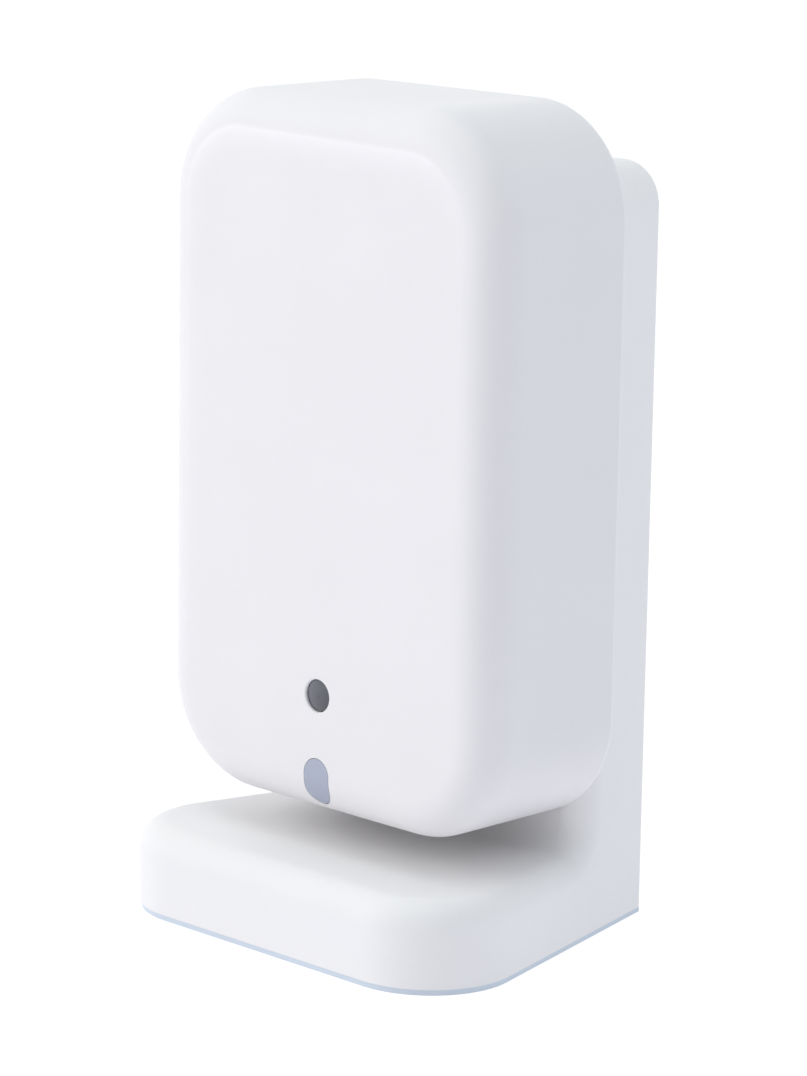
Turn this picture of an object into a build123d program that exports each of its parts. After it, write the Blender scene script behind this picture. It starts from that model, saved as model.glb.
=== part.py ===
"""Presence sensor on its table stand.

A white radar sensor head hangs by four hooks on an L-shaped stand: a foot with rounded front corners and a
hollow upright behind the head. Millimetres, Z up, front towards -Y, origin at the middle of the resting face.
"""

import os

from build123d import *

os.makedirs("parts", exist_ok=True)

# Every cut starts this far outside the face that it opens
overrun = 1.0
# Gap all round a piece that drops into a moulding
fit_gap = 0.15

# Sensor head, outside
head_width = 58.4
head_height = 90.6
head_depth = 23.3
head_corner_radius = 14.5
face_edge_radius = 5.2
rim_edge_radius = 0.5
head_wall = 1.8
rim_wall = 1.0
rear_cover_thickness = 2.0

# Stand, outside
stand_depth = 49.0
foot_flare = 3.8
foot_height = 11.45
foot_corner_radius = 11.5
upright_side_step = 8.7
upright_depth = 16.0
upright_top_step = 8.6
upright_top_radius = 5.5
upright_rear_radius = 1.6
soft_edge_radius = 3.4
cove_radius = 3.6
stand_wall = 2.0
pad_thickness = 0.8
pad_inset = 0.3
panel_thickness = 2.0

# Head on the stand
head_clearance = 4.4
slide_gap = 0.2

# Places along the depth
front_y = -stand_depth / 2
rear_y = stand_depth / 2
seam_y = rear_y - upright_depth
head_back_y = seam_y - slide_gap
head_front_y = head_back_y - head_depth
cover_front_y = head_back_y - rear_cover_thickness
panel_front_y = rear_y - panel_thickness

# Widths and heights that follow the head
foot_width = head_width + 2 * foot_flare
upright_rear_width = head_width - 2 * upright_side_step
head_bottom_z = foot_height + head_clearance
head_mid_z = head_bottom_z + head_height / 2
upright_height = head_bottom_z + head_height - upright_top_step


def facing_front(y, z=head_mid_z):
    """Upright plane at depth y, centred on height z, that looks to the front."""
    return Plane(origin=(0, y, z), x_dir=(1, 0, 0), z_dir=(0, -1, 0))


def screw_set(seat, spots, head_radius, head_length, shank_radius, shank_length, socket_share=0.5):
    """Pan-head screws on a plane that looks the way the screws are driven."""
    with BuildPart() as screws:
        with BuildSketch(seat):
            with Locations(*spots):
                Circle(head_radius)
        extrude(amount=-head_length)
        with BuildSketch(seat):
            with Locations(*spots):
                Circle(shank_radius)
        extrude(amount=shank_length)
        with BuildSketch(seat.offset(-head_length)):
            with Locations(*spots):
                RegularPolygon(head_radius * socket_share, 6)
        extrude(amount=head_length * socket_share, mode=Mode.SUBTRACT)
    return screws


def corners(span_x, span_y, middle_y=0):
    """Four places in a rectangle."""
    return [(side * span_x / 2, middle_y + level * span_y / 2) for side in (-1, 1) for level in (-1, 1)]


def head_outline(inset):
    """The head's rounded outline, set in all round."""
    return RectangleRounded(head_width - 2 * inset, head_height - 2 * inset, head_corner_radius - inset)


def leans_back(edge):
    """True for an edge that runs more to the back than across."""
    return abs(edge.tangent_at(0).Y) > abs(edge.tangent_at(0).X)


# Outer form of the head, whole: a wide round edge frames the face
with BuildPart() as head_block:
    with BuildSketch(facing_front(head_back_y)):
        head_outline(0)
    extrude(amount=head_depth)
    fillet(head_block.faces().sort_by(Axis.Y)[0].edges(), face_edge_radius)
    fillet(head_block.faces().sort_by(Axis.Y)[-1].edges(), rim_edge_radius)

# Space inside the head, with the same wall along the round edge
with BuildPart() as head_hollow:
    with BuildSketch(facing_front(head_back_y + overrun)):
        head_outline(head_wall)
    extrude(amount=head_depth + overrun - head_wall)
    fillet(head_hollow.faces().sort_by(Axis.Y)[0].edges(), face_edge_radius - head_wall)

# Main board, across the head
board_side_room = 10.5
board_top_room = 10.0
board_bottom_room = 4.0
board_corner_radius = 1.5
board_thickness = 1.6
rear_room = 4.8
post_radius = 2.2
post_inset = 3.2
board_screw_radius = 0.95
board_screw_head_radius = 1.8
board_screw_head_length = 1.2
board_screw_depth = 5.0
pilot_gap = 0.05
board_width = head_width - 2 * board_side_room
board_height = head_height - board_top_room - board_bottom_room
board_back_y = cover_front_y - rear_room
board_front_y = board_back_y - board_thickness
board_mid_z = head_bottom_z + board_bottom_room + board_height / 2
post_spots = corners(board_width - 2 * post_inset, board_height - 2 * post_inset)

with BuildPart() as main_board:
    with BuildSketch(facing_front(board_back_y, board_mid_z)):
        RectangleRounded(board_width, board_height, board_corner_radius)
        with Locations(*post_spots):
            Circle(board_screw_radius + fit_gap, mode=Mode.SUBTRACT)
    extrude(amount=board_thickness)
main_board.part.label = "main_board"
export_step(main_board.part, "parts/main_board.step")

board_screws = screw_set(
    facing_front(board_back_y, board_mid_z),
    post_spots,
    board_screw_head_radius,
    board_screw_head_length,
    board_screw_radius,
    board_thickness + board_screw_depth,
)
board_screws.part.label = "board_screws"
export_step(board_screws.part, "parts/board_screws.step")

# Corner bosses for the rear cover and posts for the board, cut to the head's outer form
boss_radius = 2.8
boss_inset = 7.5
cover_screw_radius = 1.1
cover_screw_head_radius = 2.1
cover_screw_head_length = 1.2
cover_screw_depth = 7.0
boss_spots = corners(head_width - 2 * boss_inset, head_height - 2 * boss_inset)

with BuildPart() as bosses:
    with BuildSketch(facing_front(cover_front_y)):
        with Locations(*boss_spots):
            Circle(boss_radius)
    extrude(amount=cover_front_y - head_front_y)
    with BuildSketch(facing_front(board_front_y, board_mid_z)):
        with Locations(*post_spots):
            Circle(post_radius)
    extrude(amount=board_front_y - head_front_y)
    add(head_block.part, mode=Mode.INTERSECT)

# Lens of the light sensor, a smoked dome sunk a little in the face
lens_height = 15.75
lens_radius = 2.0
lens_sink = 0.35
lens_dome = 0.2
lens_lip_radius = 0.25
lens_flange_radius = 2.9
lens_flange_thickness = 0.8
lens_gap = 0.1
lens_z = head_bottom_z + lens_height
lens_rim_y = head_front_y + lens_sink
lens_back_y = head_front_y + head_wall + lens_flange_thickness

with BuildPart() as lux_lens:
    with BuildSketch(Plane.XY.offset(lens_z)):
        with BuildLine():
            TangentArc((0, lens_rim_y - lens_dome), (lens_radius, lens_rim_y), tangent=(1, 0))
            Polyline(
                (lens_radius, lens_rim_y),
                (lens_radius, head_front_y + head_wall),
                (lens_flange_radius, head_front_y + head_wall),
                (lens_flange_radius, lens_back_y),
                (0, lens_back_y),
                (0, lens_rim_y - lens_dome),
            )
        make_face()
    revolve(axis=Axis((0, 0, lens_z), (0, 1, 0)))
lux_lens.part.label = "lux_lens"
export_step(lux_lens.part, "parts/lux_lens.step")

# Black tube that keeps stray light off the sensor behind the lens
shroud_wall = 0.9

with BuildPart() as light_shroud:
    with BuildSketch(facing_front(board_front_y, lens_z)):
        Circle(lens_flange_radius)
        Circle(lens_flange_radius - shroud_wall, mode=Mode.SUBTRACT)
    extrude(amount=board_front_y - lens_back_y)
light_shroud.part.label = "light_shroud"
export_step(light_shroud.part, "parts/light_shroud.step")

light_sensor_width = 2.0
light_sensor_length = 1.8
light_sensor_thickness = 0.7

with BuildPart() as light_sensor:
    with BuildSketch(facing_front(board_front_y, lens_z)):
        Rectangle(light_sensor_width, light_sensor_length)
    extrude(amount=light_sensor_thickness)
light_sensor.part.label = "light_sensor"
export_step(light_sensor.part, "parts/light_sensor.step")

# Status window, a light guide whose front follows the face and its round edge
window_width = 4.3
window_length = 6.0
window_bottom = 1.6
window_depth = 6.0
window_gap = 0.08
guide_width = 2.6
guide_length = 2.4
guide_inset = 1.1
led_width = 2.0
led_length = 1.4
led_thickness = 0.8
led_air = 0.3
window_z = head_bottom_z + window_bottom + window_length / 2
led_z = window_z + (window_length - guide_length) / 2 - guide_inset
window_back_y = head_front_y + window_depth

with BuildPart() as status_window:
    with BuildSketch(facing_front(head_front_y - overrun, window_z)):
        SlotOverall(window_length, window_width, rotation=90)
    extrude(amount=-(window_depth + overrun))
    add(head_block.part, mode=Mode.INTERSECT)
    with BuildSketch(facing_front(window_back_y, led_z)):
        Rectangle(guide_width, guide_length)
    extrude(amount=-(board_front_y - led_thickness - led_air - window_back_y))
status_window.part.label = "status_window"
export_step(status_window.part, "parts/status_window.step")

with BuildPart() as status_led:
    with BuildSketch(facing_front(board_front_y, led_z)):
        Rectangle(led_width, led_length)
    extrude(amount=led_thickness)
status_led.part.label = "status_led"
export_step(status_led.part, "parts/status_led.step")

# Front cover: face and side walls in one moulding
with BuildPart() as front_cover:
    add(head_block.part)
    add(head_hollow.part, mode=Mode.SUBTRACT)
    add(bosses.part)
    with BuildSketch(facing_front(head_back_y + overrun)):
        head_outline(rim_wall)
    extrude(amount=rear_cover_thickness + overrun, mode=Mode.SUBTRACT)
    with BuildSketch(facing_front(cover_front_y + overrun)):
        with Locations(*boss_spots):
            Circle(cover_screw_radius + pilot_gap)
    extrude(amount=cover_screw_depth + overrun, mode=Mode.SUBTRACT)
    with BuildSketch(facing_front(board_front_y + overrun, board_mid_z)):
        with Locations(*post_spots):
            Circle(board_screw_radius + pilot_gap)
    extrude(amount=board_screw_depth + overrun, mode=Mode.SUBTRACT)
    with BuildSketch(facing_front(head_front_y - overrun, lens_z)):
        Circle(lens_radius + lens_gap)
    extrude(amount=-(head_wall + overrun), mode=Mode.SUBTRACT)
    lens_rims = front_cover.edges().filter_by(GeomType.CIRCLE)
    fillet(lens_rims.sort_by_distance((0, head_front_y, lens_z))[0], lens_lip_radius)
    with BuildSketch(facing_front(head_front_y - overrun, window_z)):
        SlotOverall(window_length + 2 * window_gap, window_width + 2 * window_gap, rotation=90)
    extrude(amount=-(window_depth + overrun), mode=Mode.SUBTRACT)
front_cover.part.label = "front_cover"
export_step(front_cover.part, "parts/front_cover.step")

# Hooks of the upright and the slots that hang on them
hook_span = 24.0
hook_width = 6.0
hook_neck = 3.0
hook_rise = 4.0
hook_plate = 1.4
hook_gap = 0.3
hook_rest_gap = 0.05
hook_side_gap = 0.3
hook_low_inset = 10.5
hook_high_inset = 18.5
lift_travel = 4.5
hook_front_y = cover_front_y - hook_gap - hook_plate
slot_length = hook_neck + lift_travel + 2 * hook_rest_gap
hook_bottoms = [head_bottom_z + hook_low_inset, head_bottom_z + head_height - hook_high_inset]

# Rear connector and reset button, both reached through the window of the upright
usb_height = 33.0
usb_width = 8.94
usb_thickness = 3.26
usb_shell_wall = 0.3
usb_floor = 0.8
usb_recess = 0.3
usb_opening_gap = 0.4
tongue_width = 6.7
tongue_thickness = 0.7
tongue_recess = 0.9
button_height = 43.0
button_radius = 2.3
button_gap = 0.1
button_flange_radius = 2.9
button_flange_thickness = 0.8
button_recess = 0.2
button_pin_radius = 1.2
press_travel = 0.4
usb_z = head_bottom_z + usb_height
button_z = head_bottom_z + button_height

with BuildPart() as rear_cover:
    with BuildSketch(facing_front(head_back_y)):
        head_outline(rim_wall + fit_gap)
        with Locations(*boss_spots):
            Circle(cover_screw_radius + fit_gap, mode=Mode.SUBTRACT)
    extrude(amount=rear_cover_thickness)
    with BuildSketch(facing_front(head_back_y + overrun)):
        with Locations(*boss_spots):
            Circle(cover_screw_head_radius + fit_gap)
    extrude(amount=cover_screw_head_length + overrun, mode=Mode.SUBTRACT)
    for hook_bottom in hook_bottoms:
        slot_top = hook_bottom + hook_neck + hook_rest_gap
        with BuildSketch(facing_front(head_back_y + overrun, slot_top - slot_length / 2)):
            with Locations((-hook_span / 2, 0), (hook_span / 2, 0)):
                Rectangle(hook_width + 2 * hook_side_gap, slot_length)
        extrude(amount=rear_cover_thickness + 2 * overrun, mode=Mode.SUBTRACT)
    with BuildSketch(facing_front(head_back_y + overrun, usb_z)):
        SlotOverall(usb_width + 2 * usb_opening_gap, usb_thickness + 2 * usb_opening_gap)
    extrude(amount=rear_cover_thickness + 2 * overrun, mode=Mode.SUBTRACT)
    with BuildSketch(facing_front(head_back_y + overrun, button_z)):
        Circle(button_radius + button_gap)
    extrude(amount=rear_cover_thickness + 2 * overrun, mode=Mode.SUBTRACT)
rear_cover.part.label = "rear_cover"
export_step(rear_cover.part, "parts/rear_cover.step")

cover_screws = screw_set(
    facing_front(head_back_y - cover_screw_head_length),
    boss_spots,
    cover_screw_head_radius,
    cover_screw_head_length,
    cover_screw_radius,
    rear_cover_thickness - cover_screw_head_length + cover_screw_depth,
)
cover_screws.part.label = "cover_screws"
export_step(cover_screws.part, "parts/cover_screws.step")

# Connector: a drawn metal shell standing on the board, and the contact tongue inside it
with BuildPart() as usb_socket:
    with BuildSketch(facing_front(board_back_y, usb_z)):
        SlotOverall(usb_width, usb_thickness)
    extrude(amount=-(head_back_y - usb_recess - board_back_y))
    with BuildSketch(facing_front(board_back_y + usb_floor, usb_z)):
        SlotOverall(usb_width - 2 * usb_shell_wall, usb_thickness - 2 * usb_shell_wall)
    extrude(amount=-(head_back_y - board_back_y), mode=Mode.SUBTRACT)
usb_socket.part.label = "usb_socket"
export_step(usb_socket.part, "parts/usb_socket.step")

with BuildPart() as usb_tongue:
    with BuildSketch(facing_front(board_back_y + usb_floor, usb_z)):
        Rectangle(tongue_width, tongue_thickness)
    extrude(amount=-(head_back_y - usb_recess - tongue_recess - board_back_y - usb_floor))
usb_tongue.part.label = "usb_tongue"
export_step(usb_tongue.part, "parts/usb_tongue.step")

# Reset switch on the board, its plunger, and the cap in the rear cover
switch_width = 4.5
switch_thickness = 1.9
plunger_radius = 0.9
plunger_gap = 0.08
plunger_seat = 0.9
plunger_rest_y = board_back_y + plunger_seat + press_travel
button_pin_y = cover_front_y - button_flange_thickness - press_travel

with BuildPart() as reset_switch:
    with BuildSketch(facing_front(board_back_y, button_z)):
        Rectangle(switch_width, switch_width)
    extrude(amount=-switch_thickness)
    with BuildSketch(facing_front(board_back_y + plunger_seat, button_z)):
        Circle(plunger_radius + plunger_gap)
    extrude(amount=-switch_thickness, mode=Mode.SUBTRACT)
reset_switch.part.label = "reset_switch"
export_step(reset_switch.part, "parts/reset_switch.step")

with BuildPart() as switch_plunger:
    with BuildSketch(facing_front(plunger_rest_y, button_z)):
        Circle(plunger_radius)
    extrude(amount=-(button_pin_y - plunger_rest_y))
switch_plunger.part.label = "switch_plunger"
export_step(switch_plunger.part, "parts/switch_plunger.step")

with BuildPart() as reset_button:
    with BuildSketch(facing_front(cover_front_y, button_z)):
        Circle(button_radius)
    extrude(amount=-(rear_cover_thickness - button_recess))
    fillet(reset_button.faces().sort_by(Axis.Y)[-1].edges(), button_recess)
    with BuildSketch(facing_front(cover_front_y, button_z)):
        Circle(button_flange_radius)
    extrude(amount=button_flange_thickness)
    with BuildSketch(facing_front(cover_front_y - button_flange_thickness, button_z)):
        Circle(button_pin_radius)
    extrude(amount=press_travel)
reset_button.part.label = "reset_button"
export_step(reset_button.part, "parts/reset_button.step")

# Radio module and its shield can, on the front of the main board
radio_height = 38.0
radio_shift = 8.0
radio_width = 13.2
radio_length = 16.6
radio_thickness = 0.8
shield_width = 11.4
shield_thickness = 1.8
shield_wall = 0.2
radio_spot = (-radio_shift, 0)
radio_z = head_bottom_z + radio_height

with BuildPart() as radio_module:
    with BuildSketch(facing_front(board_front_y, radio_z)):
        with Locations(radio_spot):
            Rectangle(radio_width, radio_length)
    extrude(amount=radio_thickness)
radio_module.part.label = "radio_module"
export_step(radio_module.part, "parts/radio_module.step")

with BuildPart() as radio_shield:
    with BuildSketch(facing_front(board_front_y - radio_thickness, radio_z)):
        with Locations(radio_spot):
            Rectangle(shield_width, shield_width)
    extrude(amount=shield_thickness)
    with BuildSketch(facing_front(board_front_y - radio_thickness, radio_z)):
        with Locations(radio_spot):
            Rectangle(shield_width - 2 * shield_wall, shield_width - 2 * shield_wall)
    extrude(amount=shield_thickness - shield_wall, mode=Mode.SUBTRACT)
radio_shield.part.label = "radio_shield"
export_step(radio_shield.part, "parts/radio_shield.step")

# Radar board, carried in front of the main board on two pin headers
radar_gap = 2.7
radar_board_width = 26.0
radar_board_height = 20.0
radar_board_thickness = 1.0
radar_air = 1.5
header_width = 2.5
header_length = 15.0
header_inset = 2.0
radar_chip_width = 6.5
radar_chip_thickness = 0.9
radar_z = radio_z + radio_length / 2 + radar_gap + radar_board_height / 2
radar_back_y = head_front_y + head_wall + radar_air + radar_board_thickness

with BuildPart() as radar_board:
    with BuildSketch(facing_front(radar_back_y, radar_z)):
        RectangleRounded(radar_board_width, radar_board_height, board_corner_radius)
    extrude(amount=radar_board_thickness)
radar_board.part.label = "radar_board"
export_step(radar_board.part, "parts/radar_board.step")

with BuildPart() as radar_chip:
    with BuildSketch(facing_front(radar_back_y, radar_z)):
        Rectangle(radar_chip_width, radar_chip_width)
    extrude(amount=-radar_chip_thickness)
radar_chip.part.label = "radar_chip"
export_step(radar_chip.part, "parts/radar_chip.step")

with BuildPart() as board_headers:
    with BuildSketch(facing_front(board_front_y, radar_z)):
        with GridLocations(0, radar_board_height - 2 * header_inset, 1, 2):
            Rectangle(header_length, header_width)
    extrude(amount=board_front_y - radar_back_y)
board_headers.part.label = "board_headers"
export_step(board_headers.part, "parts/board_headers.step")

# Power supply parts on the back of the main board
power_height = 22.0
power_shift = 8.0
inductor_width = 5.2
inductor_corner_radius = 1.2
inductor_thickness = 3.0
regulator_width = 3.0
regulator_thickness = 0.9
capacitor_width = 1.25
capacitor_length = 2.0
capacitor_thickness = 1.2
capacitor_pitch = 3.0
capacitor_count = 4
power_z = head_bottom_z + power_height

with BuildPart() as power_inductor:
    with BuildSketch(facing_front(board_back_y, power_z)):
        with Locations((-power_shift, 0)):
            RectangleRounded(inductor_width, inductor_width, inductor_corner_radius)
    extrude(amount=-inductor_thickness)
power_inductor.part.label = "power_inductor"
export_step(power_inductor.part, "parts/power_inductor.step")

with BuildPart() as regulator:
    with BuildSketch(facing_front(board_back_y, power_z)):
        Rectangle(regulator_width, regulator_width)
    extrude(amount=-regulator_thickness)
regulator.part.label = "regulator"
export_step(regulator.part, "parts/regulator.step")

with BuildPart() as capacitors:
    with BuildSketch(facing_front(board_back_y, power_z)):
        with Locations((power_shift, 0)):
            with GridLocations(0, capacitor_pitch, 1, capacitor_count):
                Rectangle(capacitor_length, capacitor_width)
    extrude(amount=-capacitor_thickness)
capacitors.part.label = "capacitors"
export_step(capacitors.part, "parts/capacitors.step")


def half_width(y):
    """Half the stand's width at depth y: its sides draw in towards the back."""
    share = (y - front_y) / stand_depth
    return foot_width / 2 + share * (upright_rear_width - foot_width) / 2


def stand_plan(z, inset=0.0, back_y=rear_y):
    """Outline of the foot at height z, set in all round and cut off square at back_y."""
    with BuildSketch(Plane.XY.offset(z)) as plan:
        with BuildLine():
            Polyline(
                (-half_width(front_y), front_y),
                (half_width(front_y), front_y),
                (half_width(back_y), back_y),
                (-half_width(back_y), back_y),
                close=True,
            )
        make_face()
        fillet(plan.vertices().group_by(Axis.Y)[0], foot_corner_radius)
        if inset:
            offset(amount=-inset)
    return plan.sketch


# Space inside the upright, open to the back and down into the foot
hollow_front_y = seam_y + stand_wall
hollow_top_z = upright_height - stand_wall
hollow_rear_half = half_width(rear_y) - stand_wall
with BuildPart() as upright_hollow:
    with BuildSketch(Plane.XY.offset(pad_thickness - overrun)):
        with BuildLine():
            Polyline(
                (-half_width(hollow_front_y) + stand_wall, hollow_front_y),
                (half_width(hollow_front_y) - stand_wall, hollow_front_y),
                (hollow_rear_half, rear_y),
                (hollow_rear_half, rear_y + overrun),
                (-hollow_rear_half, rear_y + overrun),
                (-hollow_rear_half, rear_y),
                close=True,
            )
        make_face()
    extrude(amount=hollow_top_z - pad_thickness + overrun)
    hollow_roof = upright_hollow.faces().sort_by(Axis.Z)[-1]
    fillet(hollow_roof.edges().filter_by(leans_back), upright_top_radius - stand_wall)

# Screws and their bosses inside the stand
stand_screw_radius = 1.3
stand_screw_head_radius = 2.4
stand_screw_head_length = 1.2
stand_screw_depth = 7.0
stand_boss_radius = 3.0
panel_screw_side_inset = 5.5
panel_screw_low = 20.0
panel_screw_top_inset = 8.8
foot_screw_side_inset = 14.0
foot_screw_front_inset = 9.0
foot_screw_depth = 4.0
panel_screw_span_x = 2 * (hollow_rear_half - panel_screw_side_inset)
panel_screw_span_z = upright_height - panel_screw_top_inset - panel_screw_low
panel_screw_mid_z = panel_screw_low + panel_screw_span_z / 2
panel_screw_spots = corners(panel_screw_span_x, panel_screw_span_z)
foot_screw_span_x = foot_width - 2 * foot_screw_side_inset
foot_screw_front_y = front_y + foot_screw_front_inset
foot_screw_rear_y = seam_y - stand_boss_radius
foot_screw_spots = corners(
    foot_screw_span_x,
    foot_screw_rear_y - foot_screw_front_y,
    (foot_screw_rear_y + foot_screw_front_y) / 2,
)
cover_top_z = pad_thickness + stand_wall

# Wall fixing: two tubes through the upright, driven from the front once the head is off
wall_screw_low = 30.0
wall_screw_span = 54.0
wall_hole_radius = 2.3
wall_tube_radius = 5.6
wall_sink_radius = 4.4
wall_sink_depth = 3.0
wall_screw_mid_z = wall_screw_low + wall_screw_span / 2

# Window through the upright for the plug and the reset button
plug_window_width = 20.0
plug_room_below = 6.0
finger_room_above = 6.0
plug_window_radius = 2.0
plug_window_length = button_z - usb_z + plug_room_below + finger_room_above
plug_window_z = (button_z + finger_room_above + usb_z - plug_room_below) / 2

with BuildPart() as stand_frame:
    extrude(stand_plan(pad_thickness), amount=upright_height - pad_thickness)
    with BuildSketch(Plane.XY.offset(foot_height)):
        with Locations((0, seam_y)):
            Rectangle(foot_width + overrun, stand_depth + overrun, align=(Align.CENTER, Align.MAX))
    extrude(amount=upright_height, mode=Mode.SUBTRACT)
    roof = stand_frame.faces().sort_by(Axis.Z)[-1]
    fillet(roof.edges().filter_by(leans_back), upright_top_radius)
    fillet(stand_frame.edges().filter_by(Axis.X).sort_by_distance((0, seam_y, foot_height))[0], cove_radius)
    # The soft edge runs round the foot, up the sides of the cove and over the top of the upright
    foot_top = stand_frame.faces().filter_by(Axis.Z).sort_by_distance((0, front_y, foot_height))[0]
    upright_front = stand_frame.faces().filter_by(Axis.Y).sort_by_distance((0, seam_y, head_mid_z))[0]
    cove = stand_frame.faces().filter_by(GeomType.CYLINDER).sort_by_distance((0, seam_y, foot_height))[0]
    outline = foot_top.edges() + upright_front.edges() + cove.edges()
    soft_edges = [edge for edge in outline if sum(edge.is_same(other) for other in outline) == 1]
    fillet(soft_edges, soft_edge_radius)
    back = stand_frame.faces().sort_by(Axis.Y)[-1]
    fillet(back.edges().sort_by(Axis.Z)[1:], upright_rear_radius)
    # Hollow foot and upright
    extrude(
        stand_plan(pad_thickness - overrun, stand_wall, rear_y),
        amount=foot_height - stand_wall - pad_thickness + overrun,
        mode=Mode.SUBTRACT,
    )
    add(upright_hollow.part, mode=Mode.SUBTRACT)
    # Bosses for the panel screws, the foot screws and the wall screws
    with BuildSketch(facing_front(panel_front_y, panel_screw_mid_z)):
        with Locations(*panel_screw_spots):
            Circle(stand_boss_radius)
    extrude(amount=panel_front_y - hollow_front_y)
    with BuildSketch(Plane.XY.offset(cover_top_z)):
        with Locations(*foot_screw_spots):
            Circle(stand_boss_radius)
    extrude(amount=foot_height - stand_wall - cover_top_z)
    with BuildSketch(facing_front(panel_front_y, wall_screw_mid_z)):
        with GridLocations(0, wall_screw_span, 1, 2):
            Circle(wall_tube_radius)
    extrude(amount=panel_front_y - hollow_front_y)
    # Holes
    with BuildSketch(facing_front(panel_front_y + overrun, panel_screw_mid_z)):
        with Locations(*panel_screw_spots):
            Circle(stand_screw_radius + pilot_gap)
    extrude(amount=stand_screw_depth + overrun, mode=Mode.SUBTRACT)
    with BuildSketch(Plane.XY.offset(cover_top_z - overrun)):
        with Locations(*foot_screw_spots):
            Circle(stand_screw_radius + pilot_gap)
    extrude(amount=foot_screw_depth + overrun, mode=Mode.SUBTRACT)
    with BuildSketch(facing_front(panel_front_y + overrun, wall_screw_mid_z)):
        with GridLocations(0, wall_screw_span, 1, 2):
            Circle(wall_hole_radius)
    extrude(amount=upright_depth + 2 * overrun, mode=Mode.SUBTRACT)
    with BuildSketch(facing_front(seam_y - overrun, wall_screw_mid_z)):
        with GridLocations(0, wall_screw_span, 1, 2):
            Circle(wall_sink_radius)
    extrude(amount=-(wall_sink_depth + overrun), mode=Mode.SUBTRACT)
    with BuildSketch(facing_front(hollow_front_y + overrun, plug_window_z)):
        RectangleRounded(plug_window_width, plug_window_length, plug_window_radius)
    extrude(amount=stand_wall + 2 * overrun, mode=Mode.SUBTRACT)
    # Four hooks, each a neck through the rear cover and a plate turned up behind it
    for hook_bottom in hook_bottoms:
        with BuildSketch(facing_front(seam_y, hook_bottom)):
            with Locations((-hook_span / 2, 0), (hook_span / 2, 0)):
                Rectangle(hook_width, hook_neck, align=(Align.CENTER, Align.MIN))
        extrude(amount=seam_y - hook_front_y)
        with BuildSketch(facing_front(hook_front_y + hook_plate, hook_bottom)):
            with Locations((-hook_span / 2, 0), (hook_span / 2, 0)):
                Rectangle(hook_width, hook_neck + hook_rise, align=(Align.CENTER, Align.MIN))
        extrude(amount=hook_plate)
stand_frame.part.label = "stand_frame"
export_step(stand_frame.part, "parts/stand_frame.step")

# Back panel of the upright, with the plug window and a notch for the lead
notch_width = 9.0
notch_height = 7.0
panel_half = hollow_rear_half - fit_gap
panel_top_z = hollow_top_z - fit_gap

with BuildPart() as back_panel:
    with BuildSketch(facing_front(rear_y, pad_thickness)) as panel_outline:
        Rectangle(2 * panel_half, panel_top_z - pad_thickness, align=(Align.CENTER, Align.MIN))
        fillet(panel_outline.vertices().group_by(Axis.Z)[-1], upright_top_radius - stand_wall)
    extrude(amount=panel_thickness)
    with BuildSketch(facing_front(rear_y + overrun, plug_window_z)):
        RectangleRounded(plug_window_width, plug_window_length, plug_window_radius)
    extrude(amount=panel_thickness + 2 * overrun, mode=Mode.SUBTRACT)
    with BuildSketch(facing_front(rear_y + overrun, pad_thickness)):
        Rectangle(notch_width, stand_wall + notch_height, align=(Align.CENTER, Align.MIN))
    extrude(amount=panel_thickness + 2 * overrun, mode=Mode.SUBTRACT)
    with BuildSketch(facing_front(rear_y + overrun, panel_screw_mid_z)):
        with Locations(*panel_screw_spots):
            Circle(stand_screw_radius + fit_gap)
    extrude(amount=panel_thickness + 2 * overrun, mode=Mode.SUBTRACT)
    with BuildSketch(facing_front(rear_y + overrun, panel_screw_mid_z)):
        with Locations(*panel_screw_spots):
            Circle(stand_screw_head_radius + fit_gap)
    extrude(amount=stand_screw_head_length + overrun, mode=Mode.SUBTRACT)
    with BuildSketch(facing_front(rear_y + overrun, wall_screw_mid_z)):
        with GridLocations(0, wall_screw_span, 1, 2):
            Circle(wall_hole_radius)
    extrude(amount=panel_thickness + 2 * overrun, mode=Mode.SUBTRACT)
back_panel.part.label = "back_panel"
export_step(back_panel.part, "parts/back_panel.step")

panel_screws = screw_set(
    facing_front(rear_y - stand_screw_head_length, panel_screw_mid_z),
    panel_screw_spots,
    stand_screw_head_radius,
    stand_screw_head_length,
    stand_screw_radius,
    panel_thickness - stand_screw_head_length + stand_screw_depth,
)
panel_screws.part.label = "panel_screws"
export_step(panel_screws.part, "parts/panel_screws.step")

# Cover that closes the foot from below
with BuildPart() as base_cover:
    extrude(
        stand_plan(pad_thickness, stand_wall + fit_gap, panel_front_y + stand_wall),
        amount=stand_wall,
    )
    with BuildSketch(Plane.XY.offset(pad_thickness - overrun)):
        with Locations(*foot_screw_spots):
            Circle(stand_screw_radius + fit_gap)
    extrude(amount=stand_wall + 2 * overrun, mode=Mode.SUBTRACT)
    with BuildSketch(Plane.XY.offset(pad_thickness - overrun)):
        with Locations(*foot_screw_spots):
            Circle(stand_screw_head_radius + fit_gap)
    extrude(amount=stand_screw_head_length + overrun, mode=Mode.SUBTRACT)
base_cover.part.label = "base_cover"
export_step(base_cover.part, "parts/base_cover.step")

base_screws = screw_set(
    Plane.XY.offset(pad_thickness + stand_screw_head_length),
    foot_screw_spots,
    stand_screw_head_radius,
    stand_screw_head_length,
    stand_screw_radius,
    stand_wall - stand_screw_head_length + foot_screw_depth,
)
base_screws.part.label = "base_screws"
export_step(base_screws.part, "parts/base_screws.step")

# Soft pad under the whole foot, a little smaller than the foot, so a thin line of it shows
with BuildPart() as foot_pad:
    extrude(stand_plan(0.0, pad_inset, rear_y), amount=pad_thickness)
foot_pad.part.label = "foot_pad"
export_step(foot_pad.part, "parts/foot_pad.step")
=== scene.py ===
"""Looks of a presence sensor on its table stand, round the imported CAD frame. Metres, Z up, front at -Y."""

import math

import bmesh
import bpy
from mathutils import Matrix, Vector


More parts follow.
